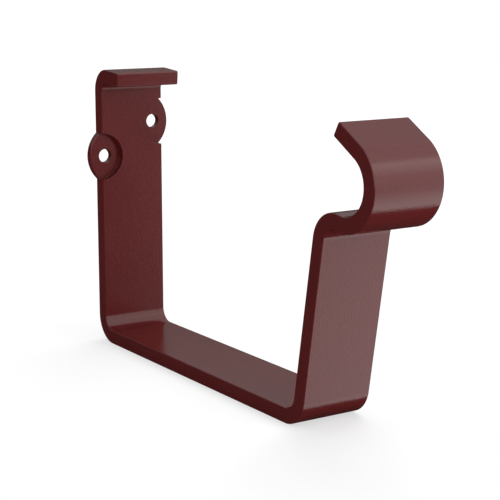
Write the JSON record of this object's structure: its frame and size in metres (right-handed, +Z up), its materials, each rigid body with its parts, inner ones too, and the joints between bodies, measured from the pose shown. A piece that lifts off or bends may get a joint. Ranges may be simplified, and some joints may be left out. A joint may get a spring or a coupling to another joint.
{
  "type": "gutter bracket",
  "caption": "Bent flat-bar hanger for a box gutter: a tray with a leaning front leg, a bead hook, a short rear lip and staggered screw pads at the wall.",
  "frame": {"origin": "on the wall face, in the middle of the bar's width, halfway up between the screw holes", "axes": "+X out from the wall towards the bead hook, +Y along the gutter, +Z up"},
  "size_m": [0.1647, 0.0324, 0.101],
  "materials": {
    "powder_coat": "satin wine-red powder coating"
  },
  "bodies": {
    "root": {"gutter_bracket": "powder_coat"}
  },
  "joints": []
}
